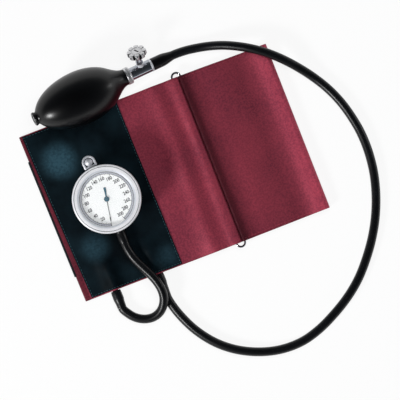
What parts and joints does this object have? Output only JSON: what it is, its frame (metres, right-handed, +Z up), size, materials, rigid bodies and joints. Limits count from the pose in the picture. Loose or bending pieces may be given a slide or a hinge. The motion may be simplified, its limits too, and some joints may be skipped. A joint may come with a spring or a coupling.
{
  "type": "aneroid sphygmomanometer",
  "caption": "Aneroid sphygmomanometer: cloth arm cuff drawn through its slide frame, dial gauge with geared movement, rubber bulb with release valve, and connecting hoses.",
  "frame": {"origin": "middle of the cuff's flat underside, on the table that it lies on", "axes": "+Z up, +X along the cuff towards its right fold, +Y across the cuff towards the bulb"},
  "size_m": [0.293, 0.3071, 0.0514],
  "materials": {
    "cuff_cloth": "matte",
    "lining_cloth": "matte",
    "loop_cloth": "matte",
    "hook_nylon": "matte",
    "panel_cloth": "satin",
    "bladder_rubber": "matte",
    "hose_rubber": "gloss",
    "bulb_rubber": "satin",
    "frame_chrome": "polished",
    "fitting_nickel": "satin",
    "case_metal": "satin",
    "bezel_chrome": "polished",
    "lens_clear": "polished",
    "dial_enamel": "matte",
    "pointer_blue": "satin",
    "brass": "satin",
    "capsule_bronze": "satin",
    "steel": "satin",
    "spring_steel": "satin",
    "valve_chrome": "polished",
    "collar_metal": "satin",
    "knob_nickel": "satin"
  },
  "bodies": {
    "root": {"cuff_shell": "cuff_cloth", "cuff_lining": "lining_cloth", "bladder": "bladder_rubber", "bladder_port_gauge": "bladder_rubber", "bladder_port_bulb": "bladder_rubber", "loop_panel": "loop_cloth", "hook_patch": "hook_nylon", "strap_panel": "panel_cloth", "slide_frame": "frame_chrome", "tube_connector_gauge": "fitting_nickel", "tube_connector_bulb": "fitting_nickel", "hose_end_gauge": "hose_rubber", "hose_end_bulb": "hose_rubber", "gauge_hose": "hose_rubber", "bulb_hose": "hose_rubber", "nipple_hose_end": "hose_rubber", "valve_hose_sleeve": "bulb_rubber", "gauge_case": "case_metal", "gauge_bezel": "bezel_chrome", "gauge_lens": "lens_clear", "lens_gasket": "bladder_rubber", "dial_plate": "dial_enamel", "pressure_socket": "brass", "socket_screws": "steel", "pressure_capsule": "capsule_bronze", "movement_pillars": "brass", "movement_base_plate": "brass", "movement_posts": "brass", "movement_top_plate": "brass", "movement_screws": "steel", "hairspring": "spring_steel", "hairspring_stud": "steel", "hanging_stud": "valve_chrome", "bulb": "bulb_rubber", "inlet_valve_body": "fitting_nickel", "inlet_screen": "steel", "valve_collar": "collar_metal", "valve_body": "valve_chrome", "ball_stops": "steel", "spindle_gland": "valve_chrome", "spindle_seal": "bladder_rubber"},
    "stem": {"capsule_stem": "steel"},
    "rocker": {"rocker_shaft": "steel"},
    "sector": {"sector_gear": "brass", "sector_arbor": "steel"},
    "pointer": {"pointer": "pointer_blue", "pinion_arbor": "steel"},
    "bow": {"hanging_bow": "valve_chrome"},
    "spindle": {"release_spindle": "steel"},
    "knob": {"release_knob": "knob_nickel"},
    "inlet_ball": {"inlet_ball": "steel"},
    "outlet_ball": {"outlet_ball": "steel"}
  },
  "joints": [
    {"name": "sector_swing", "type": "hinge", "parent": "root", "child": "sector", "pos_m": [-0.08136, -0.00602, 0.0314], "axis": [0, 0, 1], "range_deg": [0, 32.85], "stiffness_Nm_per_rad": 0.002},
    {"name": "pointer_turn", "type": "hinge", "parent": "root", "child": "pointer", "pos_m": [-0.066, 0, 0.0384], "axis": [0, 0, 1], "range_deg": [-328.5, 0]},
    {"name": "rocker_turn", "type": "hinge", "parent": "root", "child": "rocker", "pos_m": [-0.066, -0.005, 0.0268], "axis": [1, 0, 0], "range_deg": [0, 17.26]},
    {"name": "capsule_lift", "type": "slide", "parent": "root", "child": "stem", "axis": [0, 0, 1], "range_m": [0, 0.0015], "deforming": ["pressure_capsule"]},
    {"name": "bow_turn", "type": "hinge", "parent": "root", "child": "bow", "pos_m": [-0.06896, 0.03247, 0.0276], "axis": [0.9959, 0.0906, 0], "range_deg": [-88, 88]},
    {"name": "knob_turn", "type": "hinge", "parent": "spindle", "child": "knob", "pos_m": [0.00617, 0.10881, 0.02417], "axis": [0.079, 0.7505, 0.6562], "range_deg": [0, 540]},
    {"name": "spindle_travel", "type": "slide", "parent": "root", "child": "spindle", "axis": [0.079, 0.7505, 0.6562], "range_m": [0, 0.00112]},
    {"name": "inlet_ball_lift", "type": "slide", "parent": "root", "child": "inlet_ball", "axis": [0.9782, 0.0684, -0.1959], "range_m": [0, 0.001]},
    {"name": "outlet_ball_lift", "type": "slide", "parent": "root", "child": "outlet_ball", "axis": [0.9782, 0.0684, -0.1959], "range_m": [0, 0.001]}
  ],
  "couplings": [
    {"joint": "pointer_turn", "follows": "sector_swing", "ratio": -10},
    {"joint": "rocker_turn", "follows": "sector_swing", "ratio": 0.52523},
    {"joint": "capsule_lift", "follows": "sector_swing", "m_per_rad": 0.0026162},
    {"joint": "spindle_travel", "follows": "knob_turn", "m_per_rad": 0.00011937}
  ]
}
